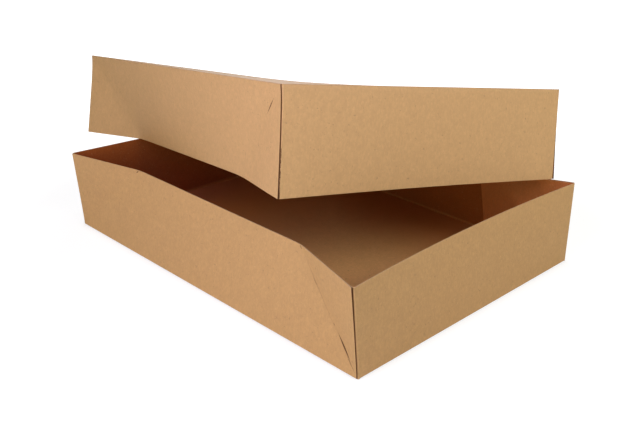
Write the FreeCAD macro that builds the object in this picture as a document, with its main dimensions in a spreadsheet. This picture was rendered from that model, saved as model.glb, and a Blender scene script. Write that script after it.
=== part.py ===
import FreeCAD, Part
import math
import os
import Sketcher

# A kraft box in two parts: a shallow base tray that stands open on the ground, and its lid, a tray
# of the same build turned over, which leans askew on the base. Each tray is one folded sheet.
#
# Frame: millimetres, +Z up, origin at the middle of the underside of the base. X runs across the
# width and Y along the length. The corners are called front (-X -Y), right (+X -Y), back (+X +Y)
# and left (-X +Y). The long walls along Y have diagonal creases, so their middle leans inwards.
# The short walls along X are smooth, and carry the tabs glued inside the long walls.

SHEET = "sizes"
CORNERS = {"front": (-1, -1), "right": (1, -1), "back": (1, 1), "left": (-1, 1)}
NEAR_CORNERS = ("front", "right")
FOLD_FLATS = 3
RIM_STEPS = 24

# Faces of a wall and of the tab glued inside it, in board thicknesses from the outside of the wall.
# The tab reaches a quarter of the board into the wall, as the glued faces are one.
WALL_FACES = (0, 1)
TAB_FACES = (0.75, 2)

# Search for the lid's pose: first guess as a height in base depths and two leans in degrees, then
# the step for the slopes, the accepted error and the most rounds.
SEAT_GUESS_HEIGHT = 1.9
SEAT_GUESS_LEANS = (10.0, -10.0)
SEAT_STEP = 1e-4
SEAT_ERROR = 1e-7
SEAT_ROUNDS = 40
PARALLEL = 1e-9

SHARED_SIZES = {
    "board": (0.7, "thickness of the kraft board"),
    "raw_edge_gap": (1.0, "from the corner fold to the raw edge of a long wall"),
    "tab_length": (84.0, "glue tab along the long wall"),
    "tab_floor_gap": (0.4, "free lower edge of a tab above the floor"),
    "tab_rim_drop": (0.5, "upper edge of a tab below the rim"),
    "kink_blunting": (1.2, "crease end below the rim"),
    "crease_start": (1.4, "crease end above the fold"),
    "base_width": (270.0, "across the underside"),
    "base_length": (338.0, "along the underside"),
    "lid_ease": (3.4, "lid panel larger than the base"),
    "seat_gap": (0.2, "clearance where the lid rests"),
}

TRAY_SIZES = {
    "base": {
        "depth": (70.0, "height of a wall along its slope"),
        "kink_run": (73.2, "from a corner to the kink in the rim"),
        "front_splay": (7.1, "front corner leans out across"),
        "right_splay": (4.1, "right corner leans out across"),
        "back_splay": (6.2, "back corner leans out across"),
        "left_splay": (7.4, "left corner leans out across"),
        "front_reach": (-2.5, "front corner leans out lengthwise"),
        "right_reach": (-4.3, "right corner leans out lengthwise"),
        "back_reach": (-2.7, "back corner leans out lengthwise"),
        "left_reach": (-1.1, "left corner leans out lengthwise"),
        "front_fold_in": (15.7, "rim kink inside the front corner"),
        "right_fold_in": (20.2, "rim kink inside the right corner"),
        "back_fold_in": (16.8, "rim kink inside the back corner"),
        "left_fold_in": (14.3, "rim kink inside the left corner"),
        "near_bow": (9.7, "near wall bows in at the rim"),
        "far_bow": (5.9, "far wall bows in at the rim"),
    },
    "lid": {
        "depth": (74.3, "height of a wall along its slope"),
        "kink_run": (74.6, "from a corner to the kink in the rim"),
        "front_splay": (0.1, "front corner leans out across"),
        "right_splay": (0.3, "right corner leans out across"),
        "back_splay": (0.3, "back corner leans out across"),
        "left_splay": (0.3, "left corner leans out across"),
        "front_reach": (4.5, "front corner leans out lengthwise"),
        "right_reach": (3.6, "right corner leans out lengthwise"),
        "back_reach": (4.0, "back corner leans out lengthwise"),
        "left_reach": (3.8, "left corner leans out lengthwise"),
        "front_fold_in": (18.5, "rim kink inside the front corner"),
        "right_fold_in": (0.8, "rim kink inside the right corner"),
        "back_fold_in": (1.4, "rim kink inside the back corner"),
        "left_fold_in": (24.0, "rim kink inside the left corner"),
        "near_bow": (1.8, "near wall bows in at the rim"),
        "far_bow": (1.8, "far wall bows in at the rim"),
        "twist": (6.2, "front and back corners of the panel droop"),
        "sag": (4.0, "middle of the panel sinks into the lid"),
        "shift_across": (31.9, "lid centre from the base centre, across"),
        "shift_along": (52.8, "lid centre from the base centre, along"),
        "turn": (11.86, "degrees that the lid is turned clockwise, seen from above"),
    },
}


def write_sizes(doc):
    """Fill the sheet: name, value and meaning of every driving dimension."""
    sheet = doc.addObject("Spreadsheet::Sheet", SHEET)
    rows = list(SHARED_SIZES.items())
    for tray, sizes in TRAY_SIZES.items():
        rows += [(f"{tray}_{name}", entry) for name, entry in sizes.items()]
    for row, (alias, (value, meaning)) in enumerate(rows, start=1):
        sheet.set(f"A{row}", alias)
        sheet.set(f"B{row}", str(value))
        sheet.set(f"C{row}", meaning)
        sheet.setAlias(f"B{row}", alias)
    doc.recompute()
    return sheet


def size(name):
    return f"{SHEET}.{name}"


def own_corners(tray):
    """Where the named corners lie while the tray is still open upwards, before the lid is turned over."""
    way = -1 if tray == "lid" else 1
    return {name: (side, way * end) for name, (side, end) in CORNERS.items()}


def corner_at(corners, side, end):
    return next(name for name, place in corners.items() if place == (side, end))


class TrayTerms:
    """Expressions for the sizes of one tray, in terms of the sheet."""

    def __init__(self, tray):
        self.tray = tray
        self.board = size("board")
        ease = "" if tray == "base" else f" + {size('lid_ease')}"
        self.half_width = f"(({size('base_width')}{ease}) / 2)"
        self.half_length = f"(({size('base_length')}{ease}) / 2)"
        self.depth = self.own("depth")
        self.kink_station = f"({self.half_length} - {self.own('kink_run')})"
        self.raw_station = f"({self.half_length} - {size('raw_edge_gap')})"
        self.inner_width = f"({self.half_width} - {self.board})"
        self.inner_length = f"({self.half_length} - {self.board})"
        self.wall_end = f"({self.half_width} - {self.board} / 2)"
        self.low_share = f"({size('crease_start')} / {self.depth})"
        self.high_share = f"(1 - {size('kink_blunting')} / {self.depth})"
        self.twist = f"-{self.own('twist')}" if tray == "lid" else "0"
        self.sags = "sag" in TRAY_SIZES[tray]
        self.corners = own_corners(tray)

    def own(self, name):
        return size(f"{self.tray}_{name}")

    def floor_height(self, across, along):
        """Height of the underside of the floor, a saddle where the panel is twisted."""
        return f"({self.twist} * ({across}) * ({along}) / ({self.inner_width} * {self.inner_length}))"

    def upright(self, lean):
        """Height above the fold of a wall point that leans sideways by this much."""
        return f"(sqrt({self.depth} ^ 2 - ({lean}) ^ 2) - {self.board})"


def origin_plane(body, role):
    return next(item for item in body.Origin.OriginFeatures if item.Role == role)


def place_section(body, name, role, station, height="0", tilt="0"):
    """Empty sketch across a wall: its origin is at the given station and height."""
    sketch = body.newObject("Sketcher::SketchObject", name)
    sketch.AttachmentSupport = (origin_plane(body, role), [""])
    sketch.MapMode = "FlatFace"
    tilted = FreeCAD.Rotation(FreeCAD.Vector(1, 0, 0), 1)
    sketch.AttachmentOffset = FreeCAD.Placement(FreeCAD.Vector(), tilted)
    sketch.setExpression("AttachmentOffset.Base.y", height)
    sketch.setExpression("AttachmentOffset.Base.z", station)
    sketch.setExpression("AttachmentOffset.Rotation.Angle", f"({tilt}) * 1 deg")
    return sketch


def pin(sketch, line, label, across, up, end=1):
    """Fix one end of a sketch line by two dimensions bound to the sheet."""
    for kind, value in (("DistanceX", across), ("DistanceY", up)):
        number = float(sketch.evalExpression(value))
        index = sketch.addConstraint(Sketcher.Constraint(kind, -1, 1, line, end, number))
        name = f"{label}_{kind[-1]}"
        sketch.renameConstraint(index, name)
        sketch.setExpression(f"Constraints.{name}", value)


def add_outline(sketch, corners):
    """Closed outline of straight lines through (across, up) corners."""
    points = [[float(sketch.evalExpression(term)) for term in corner] for corner in corners]
    count = len(points)
    for index, (x, y) in enumerate(points):
        x_next, y_next = points[(index + 1) % count]
        sketch.addGeometry(Part.LineSegment(FreeCAD.Vector(x, y, 0), FreeCAD.Vector(x_next, y_next, 0)))
    for index in range(count):
        sketch.addConstraint(Sketcher.Constraint("Coincident", index, 2, (index + 1) % count, 1))
    for index, (across, up) in enumerate(corners):
        pin(sketch, index, f"corner{index}", across, up)
    return sketch


def add_arched_outline(sketch, half_span, rise, thickness):
    """Strip that arches up by the rise between its level ends."""
    radius = f"(({half_span} ^ 2 + {rise} ^ 2) / (2 * {rise}))"
    terms = (half_span, rise, thickness, radius)
    span, top, board, bend = (float(sketch.evalExpression(term)) for term in terms)
    spread = math.asin(span / bend)
    lower, right, upper, left = range(4)
    for base in (0, board):
        circle = Part.Circle(FreeCAD.Vector(0, base + top - bend, 0), FreeCAD.Vector(0, 0, 1), bend)
        sketch.addGeometry(Part.ArcOfCircle(circle, math.pi / 2 - spread, math.pi / 2 + spread))
        foot, head = (base, board - base)
        side = span if base == 0 else -span
        sketch.addGeometry(Part.LineSegment(FreeCAD.Vector(side, foot, 0), FreeCAD.Vector(side, head, 0)))
    joins = ((lower, 1, right, 1), (right, 2, upper, 1), (upper, 2, left, 1), (left, 2, lower, 2))
    for join in joins:
        sketch.addConstraint(Sketcher.Constraint("Coincident", *join))
    pin(sketch, right, "right_foot", half_span, "0")
    pin(sketch, upper, "right_head", half_span, thickness)
    pin(sketch, left, "left_head", f"-{half_span}", thickness)
    pin(sketch, left, "left_foot", f"-{half_span}", "0", end=2)
    for arc, name in ((lower, "lower_bend"), (upper, "upper_bend")):
        index = sketch.addConstraint(Sketcher.Constraint("Radius", arc, bend))
        sketch.renameConstraint(index, name)
        sketch.setExpression(f"Constraints.{name}", radius)
    return sketch


def fold_outline(terms, side, outer):
    """Section of a fold: square inside, and rounded outside by narrow flats about the inner corner."""
    corners = [(f"{side} * ({outer} - {terms.board})", terms.board)]
    for step in range(FOLD_FLATS + 1):
        angle = f"({90 * step / FOLD_FLATS} * 1 deg)"
        across = f"{side} * ({outer} - {terms.board} * (1 - cos({angle})))"
        corners.append((across, f"{terms.board} * (1 - sin({angle}))"))
    return corners


def loft(body, name, sections, ruled=True):
    feature = body.newObject("PartDesign::AdditiveLoft", name)
    feature.Profile = sections[0]
    feature.Sections = sections[1:]
    feature.Ruled = ruled
    feature.Refine = False
    return feature


def add_floor(body, terms):
    """The panel between the folds: flat, or twisted and sagging in its middle."""
    inner = terms.inner_width
    sections = []
    for side in (-1, 1):
        station = f"({side} * {terms.inner_length})"
        heights = [terms.floor_height(f"{end} * {inner}", station) for end in (-1, 1)]
        corners = [(f"-{inner}", heights[0]), (inner, heights[1])]
        corners.append((inner, f"{heights[1]} + {terms.board}"))
        corners.append((f"-{inner}", f"{heights[0]} + {terms.board}"))
        sketch = place_section(body, f"floor_end_{side + 2}", "XZ_Plane", f"-1 * {station}")
        sections.append(add_outline(sketch, corners))
    if terms.sags:
        sketch = place_section(body, "floor_middle", "XZ_Plane", "0")
        sections.insert(1, add_arched_outline(sketch, inner, terms.own("sag"), terms.board))
    loft(body, "floor", sections, ruled=not terms.sags)


def add_lengthwise_fold(body, terms, side):
    sections = []
    for end in (-1, 1):
        station = f"({end} * {terms.raw_station})"
        height = terms.floor_height(f"{side} * {terms.inner_width}", station)
        name = f"long_fold_{side + 2}_{end + 2}"
        sketch = place_section(body, name, "XZ_Plane", f"-1 * {station}", height)
        sections.append(add_outline(sketch, fold_outline(terms, side, terms.half_width)))
    loft(body, f"long_fold_{side + 2}", sections)


def add_crosswise_fold(body, terms, side):
    sections = []
    for end in (-1, 1):
        station = f"({end} * {terms.wall_end})"
        height = terms.floor_height(station, f"{side} * {terms.inner_length}")
        sketch = place_section(body, f"short_fold_{side + 2}_{end + 2}", "YZ_Plane", station, height)
        sections.append(add_outline(sketch, fold_outline(terms, side, terms.half_length)))
    loft(body, f"short_fold_{side + 2}", sections)


def wall_corners(terms, side, lean, crease_share, faces, foot="0", drop="0"):
    """Bent strip across a long wall, standing on its fold: outer face, then inner face."""
    height = terms.upright(lean)
    rim = f"({height} - {drop})"
    crease = f"({crease_share} * {rim})"
    corners = []
    for inset, levels in zip(faces, ((foot, crease, rim), (rim, crease, foot))):
        for level in levels:
            out = f"{terms.half_width} + ({lean}) * ({level}) / {height} - {inset} * {terms.board}"
            corners.append((f"{side} * ({out})", level))
    return corners


def corner_tilt(terms, reach, lean, direction):
    """Tilt, in degrees, of a section that follows a leaning corner."""
    return f"{direction} * asin(({reach}) / {terms.upright(lean)}) / 1 deg"


def add_lengthwise_wall(body, terms, side):
    """Long wall: its creases run from the bottom corners to the kinks in the rim."""
    inner = f"{side} * {terms.inner_width}"
    stops = []
    for end in (-1, 1):
        corner = corner_at(terms.corners, side, end)
        splay, reach = terms.own(f"{corner}_splay"), terms.own(f"{corner}_reach")
        tilt = corner_tilt(terms, reach, splay, -end)
        outer_stop = (end, f"({end} * {terms.raw_station})", tilt, splay, terms.low_share)
        lean = f"-{terms.own(f'{corner}_fold_in')}"
        kink_stop = (end, f"({end} * {terms.kink_station})", "0", lean, terms.high_share)
        stops += [outer_stop, kink_stop] if end < 0 else [kink_stop, outer_stop]
    sections = []
    for index, (end, station, tilt, lean, share) in enumerate(stops):
        height = f"{terms.floor_height(inner, station)} + {terms.board}"
        name = f"long_wall_{side + 2}_{index}"
        sketch = place_section(body, name, "XZ_Plane", f"-1 * {station}", height, tilt)
        sections.append(add_outline(sketch, wall_corners(terms, side, lean, share, WALL_FACES)))
    loft(body, f"long_wall_{side + 2}", sections)


def add_crosswise_wall(body, terms, side):
    """Short wall: a smooth sheet that bows inwards between its corners."""
    name = "near" if corner_at(terms.corners, -1, side) in NEAR_CORNERS else "far"
    stops = []
    for end in (-1, 1):
        corner = corner_at(terms.corners, end, side)
        reach, splay = terms.own(f"{corner}_reach"), terms.own(f"{corner}_splay")
        tilt = corner_tilt(terms, splay, reach, end)
        stops.append((f"({end} * {terms.wall_end})", tilt, reach))
    stops.insert(1, ("0", "0", f"-{terms.own(f'{name}_bow')}"))
    sections = []
    inner = f"{side} * {terms.inner_length}"
    for index, (station, tilt, lean) in enumerate(stops):
        height = f"{terms.floor_height(station, inner)} + {terms.board}"
        rim = terms.upright(lean)
        outline = [(f"{side} * {terms.half_length}", "0")]
        outline.append((f"{side} * ({terms.half_length} + ({lean}))", rim))
        outline.append((f"{side} * ({terms.half_length} + ({lean}) - {terms.board})", rim))
        outline.append((inner, "0"))
        sketch = place_section(body, f"{name}_wall_{index}", "YZ_Plane", station, height, tilt)
        sections.append(add_outline(sketch, outline))
    loft(body, f"{name}_wall", sections, ruled=False)


def add_tab(body, terms, corner):
    """Glue tab: it turns the corner from a short wall and lies inside the long wall."""
    side, end = terms.corners[corner]
    splay, reach = terms.own(f"{corner}_splay"), terms.own(f"{corner}_reach")
    fold_in = f"-{terms.own(f'{corner}_fold_in')}"
    inner = f"{side} * {terms.inner_width}"
    stations = [f"({end} * ({terms.half_length} - {terms.board} / 2))"]
    stations.append(f"({end} * {terms.kink_station})")
    stations.append(f"({end} * ({terms.half_length} - {size('tab_length')}))")
    tilts = [corner_tilt(terms, reach, splay, -end), "0", "0"]
    leans = [splay, fold_in, fold_in]
    shares = [terms.low_share, terms.high_share, terms.high_share]
    sections = []
    for index, (station, tilt, lean, share) in enumerate(zip(stations, tilts, leans, shares)):
        height = f"{terms.floor_height(inner, station)} + {terms.board}"
        sketch = place_section(body, f"{corner}_tab_{index}", "XZ_Plane", f"-1 * {station}", height, tilt)
        edges = (size("tab_floor_gap"), size("tab_rim_drop"))
        sections.append(add_outline(sketch, wall_corners(terms, side, lean, share, TAB_FACES, *edges)))
    loft(body, f"{corner}_tab", sections)


def build_tray(doc, tray):
    """One folded sheet, open upwards, with the middle of its underside at the origin."""
    body = doc.addObject("PartDesign::Body", f"{tray}_tray")
    body.Label = f"{tray}_tray"
    terms = TrayTerms(tray)
    add_floor(body, terms)
    for side in (-1, 1):
        add_lengthwise_fold(body, terms, side)
        add_crosswise_fold(body, terms, side)
    for side in (-1, 1):
        add_crosswise_wall(body, terms, side)
    for corner in CORNERS:
        add_tab(body, terms, corner)
    for side in (-1, 1):
        add_lengthwise_wall(body, terms, side)
    return body


class RimLines:
    """Outer edge of a tray's rim in the tray's own frame, from the same sizes as the solid."""

    def __init__(self, sheet, tray):
        self.sheet = sheet
        self.tray = tray
        ease = 0 if tray == "base" else sheet.get("lid_ease")
        self.half_width = (sheet.get("base_width") + ease) / 2
        self.half_length = (sheet.get("base_length") + ease) / 2
        self.depth = self.own("depth")
        self.twist = -self.own("twist") if tray == "lid" else 0
        self.corners = own_corners(tray)

    def own(self, name):
        return self.sheet.get(f"{self.tray}_{name}")

    def corner(self, name):
        side, end = self.corners[name]
        splay, reach = self.own(f"{name}_splay"), self.own(f"{name}_reach")
        height = math.sqrt(self.depth ** 2 - splay ** 2 - reach ** 2) + self.twist * side * end
        return FreeCAD.Vector(side * (self.half_width + splay), end * (self.half_length + reach), height)

    def kink(self, name):
        side, end = self.corners[name]
        fold_in, station = self.own(f"{name}_fold_in"), self.half_length - self.own("kink_run")
        droop = self.twist * side * end * station / self.half_length
        height = math.sqrt(self.depth ** 2 - fold_in ** 2) + droop
        return FreeCAD.Vector(side * (self.half_width - fold_in), end * station, height)

    def long_rim(self, side):
        first, last = (corner_at(self.corners, side, end) for end in (-1, 1))
        return [self.corner(first), self.kink(first), self.kink(last), self.corner(last)]

    def short_rim(self, side):
        """Bowed rim of a short wall, as short straight steps along a parabola."""
        first, last = (corner_at(self.corners, end, side) for end in (-1, 1))
        name = "near" if first in NEAR_CORNERS else "far"
        start, stop = self.corner(first), self.corner(last)
        bow = self.own(f"{name}_bow")
        middle = FreeCAD.Vector(0, side * (self.half_length - bow), math.sqrt(self.depth ** 2 - bow ** 2))
        points = []
        for step in range(RIM_STEPS + 1):
            u = step / RIM_STEPS
            ends = start * ((1 - u) * (1 - 2 * u)) + stop * (u * (2 * u - 1))
            points.append(ends + middle * (4 * u * (1 - u)))
        return points


def crossing_height(upper, lower):
    """How far the upper line passes above the lower one where they cross in plan."""
    for a, b in zip(upper, upper[1:]):
        for c, d in zip(lower, lower[1:]):
            run, other, offset = b - a, d - c, c - a
            turn = run.x * other.y - run.y * other.x
            if abs(turn) < PARALLEL:
                continue
            share = (offset.x * other.y - offset.y * other.x) / turn
            along = (offset.x * run.y - offset.y * run.x) / turn
            if 0 <= share <= 1 and 0 <= along <= 1:
                return (a + run * share).z - (c + other * along).z
    raise ValueError("the rims of the lid and the base don't cross")


def lid_placement(sheet, height, pitch, roll):
    """Lid turned over, then leaned, turned in plan and moved to its place."""
    flip = FreeCAD.Placement(FreeCAD.Vector(), FreeCAD.Rotation(FreeCAD.Vector(1, 0, 0), 180))
    lean = FreeCAD.Rotation(-sheet.get("lid_turn"), pitch, roll)
    place = FreeCAD.Vector(sheet.get("lid_shift_across"), sheet.get("lid_shift_along"), height)
    return FreeCAD.Placement(place, lean).multiply(flip)


def resting_heights(sheet, base, lid, pose):
    """Clearances at the three points that carry the lid: far rim, right rim and ground."""
    placement = lid_placement(sheet, *pose)
    left_rim = [placement.multVec(point) for point in lid.long_rim(-1)]
    right_rim = [placement.multVec(point) for point in lid.long_rim(1)]
    ground = placement.multVec(lid.corner("back")).z
    on_far_rim = crossing_height(left_rim, base.short_rim(1))
    on_right_rim = crossing_height(right_rim, base.long_rim(1))
    return [on_far_rim, on_right_rim, ground]


def seat_lid(sheet):
    """Lower and lean the lid until it rests on two rims of the base and on the ground."""
    base, lid = RimLines(sheet, "base"), RimLines(sheet, "lid")
    clearance = sheet.get("seat_gap")
    pose = [SEAT_GUESS_HEIGHT * sheet.get("base_depth"), *SEAT_GUESS_LEANS]
    for _ in range(SEAT_ROUNDS):
        gaps = [gap - clearance for gap in resting_heights(sheet, base, lid, pose)]
        if max(abs(gap) for gap in gaps) < SEAT_ERROR:
            return lid_placement(sheet, *pose)
        slopes = FreeCAD.Matrix()
        for column in range(3):
            moved = list(pose)
            moved[column] += SEAT_STEP
            changed = resting_heights(sheet, base, lid, moved)
            for row in range(3):
                slope = (changed[row] - clearance - gaps[row]) / SEAT_STEP
                setattr(slopes, f"A{row + 1}{column + 1}", slope)
        change = slopes.inverse().multVec(FreeCAD.Vector(*gaps))
        pose = [value - shift for value, shift in zip(pose, change)]
    raise ValueError("the lid finds no rest on the base")


def check(doc, bodies):
    for item in doc.Objects:
        if "Invalid" in item.State or "Error" in item.State:
            raise RuntimeError(f"{item.Name} failed: {item.State}")
    for body in bodies:
        shape = body.Shape
        if shape.isNull() or not shape.isValid() or len(shape.Solids) != 1:
            raise RuntimeError(f"{body.Label} has no sound solid")


def main():
    doc = FreeCAD.newDocument("CardboardTrays")
    sheet = write_sizes(doc)
    bodies = [build_tray(doc, tray) for tray in TRAY_SIZES]
    doc.recompute()
    bodies[1].Placement = seat_lid(sheet)
    doc.recompute()
    check(doc, bodies)
    os.makedirs("parts", exist_ok=True)
    for body in bodies:
        body.Shape.exportStep(f"parts/{body.Label}.step")


main()
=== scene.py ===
import bmesh
import bpy
import math
from mathutils import Matrix, Vector


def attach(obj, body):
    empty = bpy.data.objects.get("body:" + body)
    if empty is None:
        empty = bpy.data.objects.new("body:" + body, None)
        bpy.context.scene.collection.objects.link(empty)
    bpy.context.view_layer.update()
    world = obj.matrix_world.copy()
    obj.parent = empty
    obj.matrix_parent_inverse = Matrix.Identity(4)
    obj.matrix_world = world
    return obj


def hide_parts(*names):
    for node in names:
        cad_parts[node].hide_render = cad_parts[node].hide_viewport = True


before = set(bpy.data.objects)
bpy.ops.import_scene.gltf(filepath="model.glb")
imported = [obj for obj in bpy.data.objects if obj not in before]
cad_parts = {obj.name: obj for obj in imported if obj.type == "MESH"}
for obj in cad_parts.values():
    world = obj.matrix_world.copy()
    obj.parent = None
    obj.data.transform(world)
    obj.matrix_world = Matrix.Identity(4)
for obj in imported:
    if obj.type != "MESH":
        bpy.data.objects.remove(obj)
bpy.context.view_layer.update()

# The photograph's view, in metres and degrees
LENS_MM = 47.25
SENSOR_MM = 36.0
NEAR_CLIP = 0.01
CAMERA_PLACE = Vector((-0.4918, -0.4704, 0.3166))
CAMERA_AZIMUTH = 46.254
CAMERA_ELEVATION = -23.055
CAMERA_ROLL = 2.200

# The board, in millimetres: thickness, folds, and the long walls' raw ends at the corners
MM = 0.001
BOARD = 0.7
FOLD_RADIUS = 0.9
CORNER_RADIUS = 1.3
RAW_GAP = 1.3
FLARE_LENGTH = 14.0

# Glue tabs, in millimetres. Close to the corner fold a tab widens to the wall's full height.
TAB_LENGTH = 84.0
TAB_FLOOR_GAP = 0.4
TAB_RIM_DROP = 0.5
TAB_WIDENING = 6.0
TAB_CLEARANCE = 0.014
TAB_OUTSIDE = BOARD + TAB_CLEARANCE
TAB_INSIDE = TAB_OUTSIDE + BOARD

# Painted shadow in the gap beside a raw end: its reach on the tab in millimetres, and how fast it fades
# on the fold
GAP_SHADOW_REACH = 5.0
GAP_SHADOW_FADE = 2.2

# Corners by their signs across and along, and their order in the lists of four
CORNER_NAMES = {(-1, -1): "front", (1, -1): "right", (1, 1): "back", (-1, 1): "left"}
CORNER_ORDER = tuple(CORNER_NAMES.values())
NEAR_CORNERS = ("front", "right")

# The two trays, in millimetres. Values in fours belong to the corners in CORNER_ORDER.
# kink_run: from a corner to the kink in a long wall's rim, where the diagonal crease ends
# splay, reach: outward lean of the long wall's and the short wall's rim at the corner
# fold_in: inward lean of the long wall's rim at its kink
# softness: rounding of the diagonal crease
# flare: how far the raw end stands off its tab at the rim
# near_bow, far_bow: inward bow of the short walls' rims
# bulge: outward bow of the short walls halfway up
# twist, sag: warp of the panel at its corners and in its middle
TRAYS = {
    "base": {
        "width": 270.0, "length": 338.0, "depth": 70.0, "kink_run": 73.2,
        "splay": (7.1, 4.1, 6.2, 7.4),
        "reach": (-2.5, -4.3, -2.7, -1.1),
        "fold_in": (15.7, 20.2, 16.8, 14.3),
        "softness": (0.9, 0.8, 0.8, 0.9),
        "flare": (0.7, 0.3, 0.3, 0.4),
        "near_bow": 9.7, "far_bow": 5.9, "bulge": 0.8, "twist": 0.0, "sag": 0.0,
    },
    "lid": {
        "width": 273.4, "length": 341.4, "depth": 74.3, "kink_run": 74.6,
        "splay": (0.1, 0.3, 0.3, 0.3),
        "reach": (4.5, 3.6, 4.0, 6.2),
        "fold_in": (18.5, 0.8, 1.4, 24.0),
        "softness": (3.0, 0.5, 0.5, 4.0),
        "flare": (0.3, 1.9, 0.4, 0.3),
        "near_bow": 1.8, "far_bow": 1.8, "bulge": 1.4, "twist": 6.2, "sag": 4.0,
    },
}

# The lid's place in millimetres, its turn in plan and its two leans in degrees
LID_PLACE = (31.9, 52.8, 133.092)
LID_TURN = -11.86
LID_PITCH = 9.966
LID_ROLL = -10.490

# Steps of the meshes. LONG_STEPS lead from a long wall's middle to its kink, flare and raw end.
PANEL_STEPS_ACROSS = 26
PANEL_STEPS_ALONG = 32
LONG_STEPS = (20, 28, 12)
LONG_RISE_STEPS = 26
SHORT_STEPS = 44
SHORT_RISE_STEPS = 20
TAB_STEPS = 26
TAB_WIDENING_STEPS = 6
TAB_RISE_STEPS = 22

# Angles in degrees: points on a rounded fold and on a corner fold, and where edges stay sharp
FOLD_ANGLES = (0, 22, 45, 68)
CORNER_ANGLES = (18, 36, 54, 72, 90)
SHARP_ANGLE = 40

# Rows of points, from the fold up, that the pale line along an inner fold covers
FOLD_LINE_ROWS = 5

# Crease place of points without a crease: far to its side, and of no corner
NO_CREASE = (0.0, 9.0, 0.0)

# Dark marks on the outer creases, slits where the board has cracked and a thin line of painted shade
# along the base's front crease: corner, start and stop as shares of the crease, width and distance from
# the crease in millimetres, strength
CREASE_MARKS = {
    "base": (
        ("front", 0.03, 0.20, 0.9, 1.8, 0.7),
        ("front", 0.10, 0.34, 2.2, 3.0, 1.0),
        ("front", 0.37, 0.40, 0.9, 2.2, 0.7),
        # Thin line of painted shade along the crease beyond the slit
        ("front", 0.34, 1.00, 0.7, 1.2, 0.3),
        ("front", 0.66, 0.76, 0.6, 0.5, 0.6),
        ("front", 0.955, 1.0, 1.1, 0.3, 0.7),
        ("left", 0.95, 1.0, 1.1, 0.3, 0.8),
    ),
    "lid": (
        ("front", 0.12, 0.30, 0.9, 0.0, 1.0),
    ),
}
SLIT_BLUR = 0.08

# Soft lights: azimuth and elevation in degrees, distance in metres, watts of red, green and blue
LIGHT_SIZE = 0.4
LIGHTS_AIM = Vector((0.0, 0.0, 0.08))
LIGHTS = {
    "left_low": (200, 10, 0.8, (1.67, 1.70, 1.26)),
    "left_high": (190, 35, 0.6, (1.11, 0.92, 1.45)),
    "front_high": (255, 40, 0.8, (1.09, 0.97, 0.92)),
    "far_left_high": (150, 28, 1.0, (1.20, 1.18, 0.50)),
    "right_high": (300, 27, 1.0, (3.45, 3.40, 2.75)),
    "back_low": (50, 24, 1.0, (3.00, 3.00, 3.00)),
}

# White world: its strength as light, to the camera and in reflections
WHITE = (1.0, 1.0, 1.0)
WORLD_LIGHT = 0.02
WORLD_SEEN = 1.1
WORLD_SHEEN = 0.7

# White ground: half its side, its drop below the object and its colour
GROUND_REACH = 6.0
GROUND_DROP = 0.2 * MM
GROUND_COLOUR = (0.82, 0.86, 0.90)

# Glow of the ground to the camera: its strength, its share near the object, and the distances
# from the origin, in metres, between which that share grows to the whole
GROUND_GLOW = 1.40
GROUND_SHARE = 0.58
GROUND_NEAR = 0.27
GROUND_FAR = 0.44

# Contact shade on the ground: its reach in metres, the share of the glow that it leaves, and
# the openness between which it fades out
CONTACT_REACH = 0.010
CONTACT_SHADE = 0.80
CONTACT_OPEN = (0.35, 0.95)

# Colours of kraft board: outer faces; inside of the walls, a darker copy of the board that paints the
# shade inside the tray; tabs and floor, lighter copies that paint the light falling on them; and
# painted shade on the floor towards its far and right sides
KRAFT = {"base": (0.612, 0.363, 0.159), "lid": (0.664, 0.402, 0.189)}
KRAFT_INSIDE_SHADED = (0.42, 0.126, 0.030)
KRAFT_TAB_LIT = (0.66, 0.230, 0.072)
KRAFT_FLOOR_LIT = (0.84, 0.49, 0.21)
KRAFT_FLOOR_SHADE = (0.50, 0.17, 0.042)

# Colours of cut edges at the rims, pale partly from a painted highlight on their upward-facing edge,
# and at the upright ends, dark brown partly from painted shade in the gaps beside them; of inner folds
# and of pale fibres
RIM_PALE_AND_HIGHLIGHT = (0.62, 0.41, 0.22)
CUT_BROWN_AND_SHADE = (0.12, 0.045, 0.011)
FOLD_PALE = (0.60, 0.28, 0.09)
FIBRE_PALE = (0.70, 0.47, 0.26)

# Where the floor takes on its painted shade, in metres to the right and to the far side, and how much
FLOOR_SHADE_RIGHT = (0.00, 0.12)
FLOOR_SHADE_FAR = (-0.03, 0.12)
FLOOR_SHADE_SHARE = 0.85

# Finish of the board
OUTER_GLOSS = 0.35
INNER_GLOSS = 0.1
FLOOR_GLOSS = 0.02
BOARD_ROUGHNESS = 0.62
EDGE_ROUGHNESS = 0.9
BUMP_STRENGTH = 0.2
BUMP_DEPTH = 0.1 * MM

# Noises of the board: scale, detail, roughness, and stretch where there is one
CLOUD_NOISE = (14, 3, 0.6)
WIDE_PATCH_NOISE = (75, 2, 0.5)
SMALL_PATCH_NOISE = (170, 2, 0.5)
MOTTLE_NOISE = (420, 4, 0.65)
STREAK_NOISE = (620, 2, 0.5, (1, 1, 0.55))
GRAIN_NOISE = (1500, 3, 0.6)
EDGE_NOISE = (900, 3, 0.6)

# Large clouds: window on their noise, and what they do to red, green and blue
CLOUD_WINDOW = (0.35, 0.65)
CLOUD_TINT = (0.97, 0.985, 1.0)

# Tones over the colour, coarse to fine: noise, window on it, strength, and multiple of the colour
TONES = (
    (WIDE_PATCH_NOISE, (0.3, 0.7), 0.4, 0.86),
    (SMALL_PATCH_NOISE, (0.3, 0.7), 0.6, 0.86),
    (MOTTLE_NOISE, (0.3, 0.7), 0.65, 0.84),
    (STREAK_NOISE, (0.4, 0.75), 0.4, 1.12),
    (GRAIN_NOISE, (0.3, 0.75), 0.3, 0.86),
)
EDGE_TONE = (EDGE_NOISE, (0.3, 0.7), 1.0, 0.8)

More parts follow.
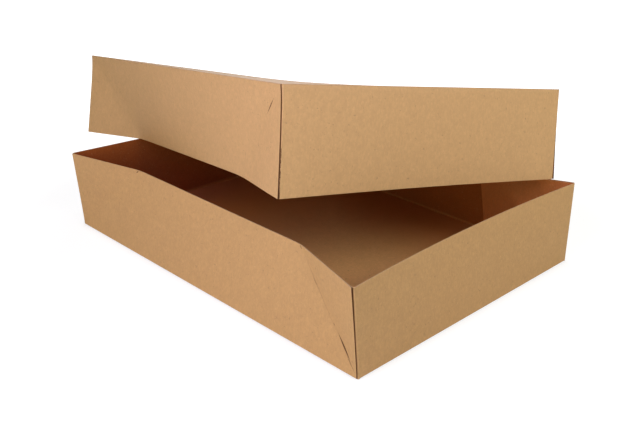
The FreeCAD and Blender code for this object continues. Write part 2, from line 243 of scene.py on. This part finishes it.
# Sparse fibres: noise, window on it and strength, and the fibres' three directions, each as
# a stretch of the noise and its turn in radians
PALE_FIBRES = ((480, 1, 0.5), (0.66, 0.78), 0.3)
PALE_LIFT = 1.25
DARK_FIBRES = ((330, 1, 0.5), (0.70, 0.82), 0.4)
DARK_TONE = 0.4
FIBRE_WAYS = (
    ((1, 1, 3), (0, 0, 0.3)),
    ((3, 1, 1), (0.9, 0.2, 0)),
    ((1, 3, 1), (0.2, 0.8, 0.5)),
)


def camera():
    """The photograph's view: a place, a direction and a small roll."""
    data = bpy.data.cameras.new("camera")
    data.lens = LENS_MM
    data.sensor_width = SENSOR_MM
    data.sensor_fit = "HORIZONTAL"
    data.clip_start = NEAR_CLIP
    azimuth = math.radians(CAMERA_AZIMUTH)
    elevation = math.radians(CAMERA_ELEVATION)
    roll = math.radians(CAMERA_ROLL)
    level = math.cos(elevation)
    forward = Vector((math.sin(azimuth) * level, math.cos(azimuth) * level, math.sin(elevation)))
    right = forward.cross(Vector((0, 0, 1))).normalized()
    up = right.cross(forward)
    tilted_right = right * math.cos(roll) + up * math.sin(roll)
    tilted_up = up * math.cos(roll) - right * math.sin(roll)
    turn = Matrix((tilted_right, tilted_up, -forward)).transposed()
    item = bpy.data.objects.new("camera", data)
    item.matrix_world = Matrix.Translation(CAMERA_PLACE) @ turn.to_4x4()
    bpy.context.scene.collection.objects.link(item)
    bpy.context.scene.camera = item


def area_light(name, azimuth, elevation, distance, power):
    """Soft disc that looks at the middle of the stack; power in watts of red, green and blue."""
    data = bpy.data.lights.new(name, "AREA")
    data.shape = "DISK"
    data.size = LIGHT_SIZE
    data.energy = max(power)
    data.color = tuple(share / max(power) for share in power)
    item = bpy.data.objects.new(name, data)
    level = distance * math.cos(math.radians(elevation))
    across = level * math.cos(math.radians(azimuth))
    along = level * math.sin(math.radians(azimuth))
    height = distance * math.sin(math.radians(elevation))
    item.location = LIGHTS_AIM + Vector((across, along, height))
    item.rotation_euler = (LIGHTS_AIM - item.location).to_track_quat("-Z", "Y").to_euler()
    item.visible_camera = False
    bpy.context.scene.collection.objects.link(item)


class Shades:
    """Builds the node tree of a material or of the world, step by step."""

    def __init__(self, owner):
        self.place = None
        self.owner = owner
        self.owner.use_nodes = True
        self.tree = owner.node_tree
        self.tree.nodes.clear()

    def node(self, kind, **settings):
        item = self.tree.nodes.new(kind)
        for key, value in settings.items():
            setattr(item, key, value)
        return item

    def link(self, source, target):
        self.tree.links.new(source, target)

    def fill(self, socket, value):
        """Gives a socket a colour or a number, or links another node's output to it."""
        if isinstance(value, tuple):
            socket.default_value = (*value, 1)
        elif isinstance(value, (int, float)):
            socket.default_value = value
        else:
            self.link(value, socket)

    def filled(self, kind, values):
        """First output of a new node whose named inputs have these values."""
        item = self.node(kind)
        for name, value in values.items():
            self.fill(item.inputs[name], value)
        return item.outputs[0]

    def attribute(self, name, output):
        return self.node("ShaderNodeAttribute", attribute_name=name).outputs[output]

    def split(self, vector):
        item = self.node("ShaderNodeSeparateXYZ")
        self.link(vector, item.inputs[0])
        return item.outputs

    def calc(self, operation, first, second=0.0):
        item = self.node("ShaderNodeMath", operation=operation)
        self.fill(item.inputs[0], first)
        self.fill(item.inputs[1], second)
        return item.outputs[0]

    def noise(self, scale, detail, roughness, stretch=(1, 1, 1), turn=(0, 0, 0)):
        """Noise over self.place, which the caller sets to the vector of places in use."""
        mapping = self.node("ShaderNodeMapping")
        mapping.inputs["Scale"].default_value = stretch
        mapping.inputs["Rotation"].default_value = turn
        self.link(self.place, mapping.inputs["Vector"])
        item = self.node("ShaderNodeTexNoise")
        item.inputs["Scale"].default_value = scale
        item.inputs["Detail"].default_value = detail
        item.inputs["Roughness"].default_value = roughness
        self.link(mapping.outputs[0], item.inputs["Vector"])
        return item.outputs["Fac"]

    def window(self, value, low, high, start=0.0, end=1.0, kind="SMOOTHSTEP"):
        """Goes from start to end while the value goes from low to high."""
        item = self.node("ShaderNodeMapRange", interpolation_type=kind)
        for index, number in enumerate((low, high, start, end), start=1):
            item.inputs[index].default_value = number
        self.link(value, item.inputs[0])
        return item.outputs[0]

    def share(self, noise, window, strength):
        """Goes from 0 to strength through a window on a noise."""
        return self.calc("MULTIPLY", self.window(self.noise(*noise), *window), strength)

    def blend(self, amount, first, second):
        """Mix of two colours; the node's colour sockets are inputs 6 and 7 and output 2."""
        item = self.node("ShaderNodeMix", data_type="RGBA")
        self.fill(item.inputs[0], amount)
        self.fill(item.inputs[6], first)
        self.fill(item.inputs[7], second)
        return item.outputs[2]

    def mix(self, amount, first, second):
        """Mix of two shaders."""
        item = self.node("ShaderNodeMixShader")
        for socket, source in zip(item.inputs, (amount, first, second)):
            self.link(source, socket)
        return item.outputs[0]

    def finish(self, shader, kind="ShaderNodeOutputMaterial"):
        self.link(shader, self.node(kind).inputs["Surface"])
        return self.owner


def lights():
    """Soft discs, and a white world that gives little light but shows to camera and reflections."""
    for name, values in LIGHTS.items():
        area_light(name, *values)
    s = Shades(bpy.data.worlds.new("world"))
    light, sheen, seen = (
        s.filled("ShaderNodeBackground", {"Color": WHITE, "Strength": strength})
        for strength in (WORLD_LIGHT, WORLD_SHEEN, WORLD_SEEN)
    )
    path = s.node("ShaderNodeLightPath").outputs
    unseen = s.mix(path["Is Glossy Ray"], light, sheen)
    surface = s.mix(path["Is Camera Ray"], unseen, seen)
    bpy.context.scene.world = s.finish(surface, "ShaderNodeOutputWorld")


def white_ground():
    """Matt white that also glows to the camera, less near the object and where they touch."""
    s = Shades(bpy.data.materials.new("white_ground"))
    away = s.node("ShaderNodeVectorMath", operation="LENGTH")
    s.link(s.node("ShaderNodeTexCoord").outputs["Object"], away.inputs[0])
    share = s.window(away.outputs["Value"], GROUND_NEAR, GROUND_FAR, GROUND_SHARE, 1.0)
    contact = s.node("ShaderNodeAmbientOcclusion")
    contact.inputs["Distance"].default_value = CONTACT_REACH
    dimmest = CONTACT_SHADE * GROUND_GLOW
    glow = s.window(contact.outputs["AO"], *CONTACT_OPEN, dimmest, GROUND_GLOW, kind="LINEAR")
    seen = s.calc("MULTIPLY", s.node("ShaderNodeLightPath").outputs["Is Camera Ray"], share)
    matt = s.filled("ShaderNodeBsdfDiffuse", {"Color": GROUND_COLOUR})
    glowing = s.filled("ShaderNodeEmission", {"Color": WHITE, "Strength": glow})
    return s.finish(s.mix(seen, matt, glowing))


def floor():
    """Wide white ground: it keeps a faint shadow and is white to the camera elsewhere."""
    mesh = bpy.data.meshes.new("floor")
    signs = ((-1, -1), (1, -1), (1, 1), (-1, 1))
    corners = [(GROUND_REACH * across, GROUND_REACH * along, 0) for across, along in signs]
    mesh.from_pydata(corners, [], [(0, 1, 2, 3)])
    mesh.materials.append(white_ground())
    item = bpy.data.objects.new("floor", mesh)
    item.location.z = -GROUND_DROP
    bpy.context.scene.collection.objects.link(item)


def scaled(colour, factor):
    return tuple(factor * channel for channel in colour)


def kraft(name, colour, gloss, marks=(), painted_shade_colour=None):
    """Uncoated kraft board: cloudy brown with fine grain, and sparse pale and dark fibres."""
    s = Shades(bpy.data.materials.new(name))
    s.place = s.attribute("own_place", "Vector")
    clouds = s.window(s.noise(*CLOUD_NOISE), *CLOUD_WINDOW)
    shade = s.blend(clouds, colour, tuple(a * b for a, b in zip(colour, CLOUD_TINT)))
    for noise, window, strength, tone in TONES:
        shade = s.blend(s.share(noise, window, strength), shade, scaled(colour, tone))
    shade = fibres(s, shade, colour)
    # Painted shade on the floor towards its far and right walls
    if painted_shade_colour:
        shade = s.blend(painted_shade_towards_far_walls(s), shade, painted_shade_colour)
    # Dark crease marks: cracked slits, and painted shade along the base's front crease
    for mark in marks:
        shade = s.blend(crease_mark(s, *mark), shade, CUT_BROWN_AND_SHADE)
    # Painted shadow in the gaps between the raw ends and their tabs
    shade = s.blend(s.attribute("seam", "Fac"), shade, CUT_BROWN_AND_SHADE)
    shade = s.blend(s.attribute("fold_line", "Fac"), shade, FOLD_PALE)
    grain = {"Height": s.noise(*GRAIN_NOISE), "Strength": BUMP_STRENGTH, "Distance": BUMP_DEPTH}
    shader = s.filled("ShaderNodeBsdfPrincipled", {
        "Base Color": shade,
        "Roughness": BOARD_ROUGHNESS,
        "Specular IOR Level": gloss,
        "Normal": s.filled("ShaderNodeBump", grain),
    })
    return s.finish(shader)


def fibres(s, shade, colour):
    """Adds sparse pale and dark fibres, in three directions."""
    pale = tuple((PALE_LIFT * a + b) / 2 for a, b in zip(colour, FIBRE_PALE))
    kinds = ((PALE_FIBRES, pale), (DARK_FIBRES, scaled(colour, DARK_TONE)))
    for stretch, turn in FIBRE_WAYS:
        for (noise, window, strength), tone in kinds:
            amount = s.share((*noise, stretch, turn), window, strength)
            shade = s.blend(amount, shade, tone)
    return shade


def painted_shade_towards_far_walls(s):
    """Share of painted shade that grows over the floor towards its far and right walls."""
    across, along, _ = s.split(s.place)
    right = s.window(across, *FLOOR_SHADE_RIGHT)
    far = s.window(along, *FLOOR_SHADE_FAR)
    return s.calc("MULTIPLY", s.calc("MAXIMUM", right, far), FLOOR_SHADE_SHARE)


def crease_mark(s, corner, start, stop, width, aside, strength):
    """Dark mark along a crease, widest in its middle: a slit where the board has cracked, and on the
    base's front crease also a thin line of painted shade.
    """
    along, across, owner = s.split(s.attribute("crease", "Vector"))
    middle, half = (start + stop) / 2, (stop - start) / 2
    off_middle = s.calc("ABSOLUTE", s.calc("SUBTRACT", along, middle))
    taper = s.window(off_middle, 0.0, half, 1.0, 0.0)
    reach = s.calc("MULTIPLY", taper, width / 2)
    inside = s.calc("SUBTRACT", reach, s.calc("ABSOLUTE", s.calc("SUBTRACT", across, aside)))
    mask = s.window(inside, -SLIT_BLUR, SLIT_BLUR)
    mine = s.calc("COMPARE", owner, float(CORNER_ORDER.index(corner) + 1))
    here = s.calc("LESS_THAN", off_middle, half)
    return s.calc("MULTIPLY", s.calc("MULTIPLY", mask, strength), s.calc("MULTIPLY", mine, here))


def cut_edge(name, colour):
    """Cut edge of the board, speckled and dull."""
    s = Shades(bpy.data.materials.new(name))
    s.place = s.node("ShaderNodeTexCoord").outputs["Object"]
    noise, window, strength, tone = EDGE_TONE
    shade = s.blend(s.share(noise, window, strength), colour, scaled(colour, tone))
    values = {"Base Color": shade, "Roughness": EDGE_ROUGHNESS}
    return s.finish(s.filled("ShaderNodeBsdfPrincipled", values))


def softplus(value, softness):
    """Nothing below zero and the value itself above, with a rounded turn between."""
    return (value + math.sqrt(value * value + softness * softness)) / 2


def spread(start, stop, count):
    """Evenly spaced values from start to stop, in this many steps."""
    return [start + (stop - start) * step / count for step in range(count + 1)]


class Tray:
    """One folded sheet in its own frame: millimetres, open upwards, underside at z = 0."""

    def __init__(self, name):
        self.sizes = TRAYS[name]
        self.half_width = self.sizes["width"] / 2
        self.half_length = self.sizes["length"] / 2
        self.depth = self.sizes["depth"]
        self.run = self.sizes["kink_run"]
        self.way = -1 if name == "lid" else 1

    def corner(self, side, end):
        """Name of the corner at these signs; the lid is turned over, so its ends change places."""
        return CORNER_NAMES[(side, end * self.way)]

    def own(self, what, side, end):
        return self.sizes[what][CORNER_ORDER.index(self.corner(side, end))]

    def floor_height(self, x, y):
        """Height of the panel's underside, which twists and sags."""
        across, along = x / self.half_width, y / self.half_length
        sag = self.sizes["sag"] * (1 - across ** 2) * (1 - along ** 2)
        return sag - self.sizes["twist"] * across * along

    def short_term(self, what, end, across):
        """Value along a short wall: a parabola through its two corners and its middle."""
        first, last = self.own(what, -1, end), self.own(what, 1, end)
        middle = 0.0
        if what == "reach":
            near = self.corner(-1, end) in NEAR_CORNERS
            middle = -self.sizes["near_bow" if near else "far_bow"]
        else:
            first = -first
        ends = first * across * (across - 1) / 2 + last * across * (across + 1) / 2
        return ends + middle * (1 - across ** 2)

    def long_terms(self, side, y, up):
        """Outward lean, lengthwise shift, height and share from the corner, on a long wall's face."""
        end = 1 if y > 0 else -1
        fold_in, splay, reach = (self.own(what, side, end) for what in ("fold_in", "splay", "reach"))
        other = self.own("fold_in", side, -end)
        kink = self.half_length - self.run
        share = (self.half_length - RAW_GAP - abs(y)) / (self.run - RAW_GAP)
        inwards = (fold_in + other) / 2 + (fold_in - other) / 2 * min(1.0, abs(y) / kink)
        past = max(0.0, 1 - share)
        softness = self.own("softness", side, end)
        swing = splay + fold_in
        fold = softplus(swing * (up - share), softness) - softplus(-swing * share, softness)
        low = math.sqrt(self.depth ** 2 - inwards ** 2)
        high = math.sqrt(self.depth ** 2 - splay ** 2 - reach ** 2)
        height = low + (high - low) * past
        return fold - inwards * up, end * reach * past * up, height, share

    def long_point(self, side, y, up, inset):
        """Point of a long wall, at a share of its height and an inset from its outer face."""
        out, shift, height, _ = self.long_terms(side, y, up)
        foot = self.floor_height(side * self.half_width, y)
        return (side * (self.half_width + out - inset), y + shift, foot + up * height)

    def wall_point(self, side, y, up, inset):
        """Point of a long wall, whose raw end stands a little off its tab towards the rim."""
        x, along, height = self.long_point(side, y, up, inset)
        near_end = max(0.0, 1 - (self.half_length - RAW_GAP - abs(y)) / FLARE_LENGTH)
        flare = self.own("flare", side, 1 if y > 0 else -1)
        return (x + side * flare * up ** 2 * near_end ** 2, along, height)

    def short_point(self, end, x, up, inset):
        """Point of a short wall, at a share of its height and an inset from its outer face."""
        across = x / self.half_width
        lean = self.short_term("reach", end, across)
        shift = self.short_term("splay", end, across)
        height = math.sqrt(self.depth ** 2 - lean ** 2 - shift ** 2)
        foot = self.floor_height(x, end * self.half_length)
        out = lean * up + self.sizes["bulge"] * 4 * up * (1 - up) * (1 - across ** 4)
        return (x + shift * up, end * (self.half_length + out - inset), foot + up * height)

    def long_fold(self, side, y, inset, rise):
        """Point of the rounded fold under a long wall."""
        height = self.floor_height(side * self.half_width, y) + rise
        return (side * (self.half_width - inset), y, height)

    def short_fold(self, end, x, inset, rise):
        """Point of the rounded fold under a short wall."""
        height = self.floor_height(x, end * self.half_length) + rise
        return (x, end * (self.half_length - inset), height)

    def crease_place(self, side, y, up):
        """Share along the corner's crease, distance from it in millimetres, and the corner's number."""
        end = 1 if y > 0 else -1
        height, share = self.long_terms(side, y, up)[2:]
        run = self.run - RAW_GAP
        off = (up - share) * run * height / math.hypot(run, height)
        return ((up + share) / 2, off, CORNER_ORDER.index(self.corner(side, end)) + 1.0)


class Board:
    """Collects closed sheets of board, each from an outer and an inner grid of points."""

    OUTER, INNER, FLOOR, TAB, RIM, CUT = range(6)

    def __init__(self):
        self.points, self.faces, self.kinds = [], [], []
        self.seams, self.creases, self.folds = [], [], []

    def add_points(self, rows, seams, creases, folds=0):
        """Adds rows of points with their marks, and returns the points' numbers, row by row."""
        indices = []
        for r, row in enumerate(rows):
            indices.append(range(len(self.points), len(self.points) + len(row)))
            self.points += row
            self.seams += seams[r] if seams else [0.0] * len(row)
            self.folds += [1.0 if r < folds else 0.0] * len(row)
            self.creases += creases[r] if creases else [NO_CREASE] * len(row)
        return indices

    def add_face(self, corners, kind):
        self.faces.append(corners)
        self.kinds.append(kind)

    def sheet(self, outer, inner, seams=None, creases=None, folds=0, ends=CUT, lining=INNER):
        """Closes a sheet: outer and inner faces, the ends of its rows, and its first and last row."""
        o = self.add_points(outer, seams, creases)
        i = self.add_points(inner, None, None, folds)
        rows, columns = len(outer), len(outer[0])
        for r in range(rows - 1):
            for c in range(columns - 1):
                self.add_face((o[r][c], o[r][c + 1], o[r + 1][c + 1], o[r + 1][c]), self.OUTER)
                self.add_face((i[r][c], i[r + 1][c], i[r + 1][c + 1], i[r][c + 1]), lining)
            for c in (0, columns - 1):
                self.add_face((o[r][c], o[r + 1][c], i[r + 1][c], i[r][c]), ends)
        for c in range(columns - 1):
            for r in (0, rows - 1):
                self.add_face((o[r][c], i[r][c], i[r][c + 1], o[r][c + 1]), self.RIM)


def fold_rows():
    """Steps of the rounding between the underside and a wall: inset from the wall, and height."""
    steps = [math.radians(angle) for angle in FOLD_ANGLES]
    return [(FOLD_RADIUS * (1 - math.sin(a)), FOLD_RADIUS * (1 - math.cos(a))) for a in steps]


def wall_rows(tray, steps):
    """Shares of a wall's height, from the end of the fold to the rim, for its outer and inner face."""
    return [(up, max(up, BOARD / tray.depth)) for up in spread(FOLD_RADIUS / tray.depth, 1.0, steps)]


def add_panel(board, tray):
    """The tray's floor, or the lid's top."""
    reach_x, reach_y = tray.half_width - FOLD_RADIUS, tray.half_length - FOLD_RADIUS
    outer, inner = [], []
    for y in spread(-reach_y, reach_y, PANEL_STEPS_ALONG):
        across = spread(-reach_x, reach_x, PANEL_STEPS_ACROSS)
        row = [(x, y, tray.floor_height(x, y)) for x in across]
        outer.append(row)
        inner.append([(x, y, z + BOARD) for x, y, z in row])
    board.sheet(outer, inner, lining=Board.FLOOR)


def long_stations(tray):
    """Places along a long wall, closer together where it creases and where it flares."""
    raw_end = tray.half_length - RAW_GAP
    kink = tray.half_length - tray.run
    flare = raw_end - FLARE_LENGTH
    middle, creased, flared = LONG_STEPS
    half = spread(0, kink, middle)
    half += spread(kink, flare, creased)[1:]
    half += spread(flare, raw_end, flared)[1:]
    return [-y for y in reversed(half[1:])] + half


def add_long_wall(board, tray, side):
    """Long wall with its diagonal creases, its kinked rim and its raw ends."""
    stations = long_stations(tray)
    outer, inner, creases = [], [], []
    for inset, rise in fold_rows():
        outer.append([tray.long_fold(side, y, inset, rise) for y in stations])
        inner.append([tray.long_fold(side, y, max(inset, BOARD), BOARD) for y in stations])
        creases.append([tray.crease_place(side, y, 0.0) for y in stations])
    for up, inner_up in wall_rows(tray, LONG_RISE_STEPS):
        outer.append([tray.wall_point(side, y, up, 0.0) for y in stations])
        inner.append([tray.wall_point(side, y, inner_up, BOARD) for y in stations])
        creases.append([tray.crease_place(side, y, up) for y in stations])
    board.sheet(outer, inner, creases=creases, folds=FOLD_LINE_ROWS)


def add_short_wall(board, tray, end):
    """Short wall, smooth and bowed, between its two corner folds."""
    reach = tray.half_width - BOARD - CORNER_RADIUS
    stations = spread(-reach, reach, SHORT_STEPS)
    outer, inner = [], []
    for inset, rise in fold_rows():
        outer.append([tray.short_fold(end, x, inset, rise) for x in stations])
        inner.append([tray.short_fold(end, x, max(inset, BOARD), BOARD) for x in stations])
    for up, inner_up in wall_rows(tray, SHORT_RISE_STEPS):
        outer.append([tray.short_point(end, x, up, 0.0) for x in stations])
        inner.append([tray.short_point(end, x, inner_up, BOARD) for x in stations])
    board.sheet(outer, inner, folds=FOLD_LINE_ROWS, ends=Board.OUTER)


def tab_level(tray, up, from_end):
    """Share of the wall's height for a point of a tab, whose edges stay clear of floor and rim."""
    low = (BOARD + TAB_FLOOR_GAP) / tray.depth
    high = 1 - TAB_RIM_DROP / tray.depth
    level = low + (high - low) * up
    if from_end < TAB_WIDENING:
        level += (up - level) * (1 - from_end / TAB_WIDENING)
    return level


def tab_flat(tray, side, end, up):
    """Row of a tab along its long wall: outer points, inner points and the painted shadow in the gap
    beside the raw end.
    """
    widening = tray.half_length - TAB_WIDENING
    stations = spread(tray.half_length - TAB_LENGTH, widening, TAB_STEPS)
    stations += spread(widening, tray.half_length - CORNER_RADIUS, TAB_WIDENING_STEPS)[1:]
    outer, inner, seam = [], [], []
    for y in stations:
        from_end = tray.half_length - y
        level = tab_level(tray, up, from_end)
        place = end * min(y, tray.half_length - RAW_GAP)
        outer.append(tray.long_point(side, place, level, TAB_OUTSIDE))
        inner.append(tray.long_point(side, place, level, TAB_INSIDE))
        # Painted shadow where the tab shows in the gap beside the raw end
        seam.append(1.0 if from_end < GAP_SHADOW_REACH else 0.0)
    return outer, inner, seam


def tab_turn(tray, side, end, up):
    """Row of a corner fold, from its tab to the short wall, with the same three results."""
    start = Vector(tray.long_point(side, end * (tray.half_length - RAW_GAP), up, TAB_OUTSIDE))
    edge = side * (tray.half_width - BOARD - CORNER_RADIUS)
    stop = Vector(tray.short_point(end, edge, up, 0.0))
    centre = Vector((stop.x, stop.y - end * CORNER_RADIUS, stop.z))
    outer, inner, seam = [], [], []
    for degrees in CORNER_ANGLES:
        angle = math.radians(degrees)
        share = degrees / CORNER_ANGLES[-1]
        across = (start.x - centre.x) * math.cos(angle)
        along = end * CORNER_RADIUS * math.sin(angle)
        height = start.z + (stop.z - start.z) * share
        point = Vector((centre.x + across, centre.y + along, height))
        away = Vector((side * math.cos(angle), end * math.sin(angle), 0))
        outer.append(tuple(point))
        inner.append(tuple(point - away * BOARD))
        seam.append(max(0.0, 1 - share * GAP_SHADOW_FADE))
    return outer, inner, seam


def add_tab(board, tray, side, end):
    """Glue tab with the corner fold that joins it to the short wall."""
    outer, inner, seams = [], [], []
    for up in spread(0.0, 1.0, TAB_RISE_STEPS):
        flat, turn = tab_flat(tray, side, end, up), tab_turn(tray, side, end, up)
        for rows, start, rest in zip((outer, inner, seams), flat, turn):
            rows.append(start + rest)
    board.sheet(outer, inner, seams=seams, lining=Board.TAB)


def lid_matrix():
    """The lid turned over, then leaned, turned in plan and moved to its place."""
    turns = (("Z", LID_TURN), ("Y", LID_PITCH), ("X", LID_ROLL), ("X", 180.0))
    matrix = Matrix.Translation(Vector(LID_PLACE))
    for axis, angle in turns:
        matrix = matrix @ Matrix.Rotation(math.radians(angle), 4, axis)
    return matrix


def board_mesh(name, board):
    """Mesh of the sheets in their place, with what the materials read at each point."""
    matrix = lid_matrix() if name == "lid" else Matrix.Identity(4)
    placed = [matrix @ Vector(point) * MM for point in board.points]
    mesh = bpy.data.meshes.new(f"{name}_board")
    mesh.from_pydata(placed, [], board.faces)
    own_places = [tuple(c * MM for c in point) for point in board.points]
    for label, vectors in (("own_place", own_places), ("crease", board.creases)):
        attribute = mesh.attributes.new(label, "FLOAT_VECTOR", "POINT")
        attribute.data.foreach_set("vector", [c for vector in vectors for c in vector])
    for label, numbers in (("seam", board.seams), ("fold_line", board.folds)):
        attribute = mesh.attributes.new(label, "FLOAT", "POINT")
        attribute.data.foreach_set("value", numbers)
    mesh.polygons.foreach_set("material_index", board.kinds)
    mesh.polygons.foreach_set("use_smooth", [True] * len(board.faces))
    return mesh


def add_materials(mesh, name):
    """Materials in the order of the kinds of face in Board."""
    for material in (
        kraft(f"kraft_{name}_outer", KRAFT[name], OUTER_GLOSS, marks=CREASE_MARKS[name]),
        # Inner faces, tabs and floor take the shaded and lit copies of the board: painted shade and
        # painted light inside the tray
        kraft(f"kraft_{name}_inner", KRAFT_INSIDE_SHADED, INNER_GLOSS),
        kraft(f"kraft_{name}_floor", KRAFT_FLOOR_LIT, FLOOR_GLOSS, painted_shade_colour=KRAFT_FLOOR_SHADE),
        kraft(f"kraft_{name}_tab", KRAFT_TAB_LIT, INNER_GLOSS),
        # Rims: cut board with a painted highlight on the upward-facing edge
        cut_edge(f"kraft_{name}_rim", RIM_PALE_AND_HIGHLIGHT),
        # Upright ends: dark cut board with painted shade in the gaps beside them
        cut_edge(f"kraft_{name}_cut", CUT_BROWN_AND_SHADE),
    ):
        mesh.materials.append(material)


def turn_faces_out(mesh):
    """Every face looks out of its sheet, and only clear edges stay sharp."""
    work = bmesh.new()
    work.from_mesh(mesh)
    bmesh.ops.recalc_face_normals(work, faces=work.faces)
    work.to_mesh(mesh)
    work.free()
    mesh.set_sharp_from_angle(angle=math.radians(SHARP_ANGLE))


def build_tray(name):
    """One tray: panel, walls and tabs as one piece, which stands for the solid of the same tray."""
    tray, board = Tray(name), Board()
    add_panel(board, tray)
    for sign in (-1, 1):
        add_long_wall(board, tray, sign)
        add_short_wall(board, tray, sign)
        for end in (-1, 1):
            add_tab(board, tray, sign, end)
    mesh = board_mesh(name, board)
    add_materials(mesh, name)
    turn_faces_out(mesh)
    item = bpy.data.objects.new(f"{name}_board", mesh)
    bpy.context.scene.collection.objects.link(item)
    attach(item, "root")
    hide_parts(f"{name}_tray")


camera()
lights()
floor()
for tray_name in TRAYS:
    build_tray(tray_name)
bpy.context.scene.view_settings.view_transform = "Standard"
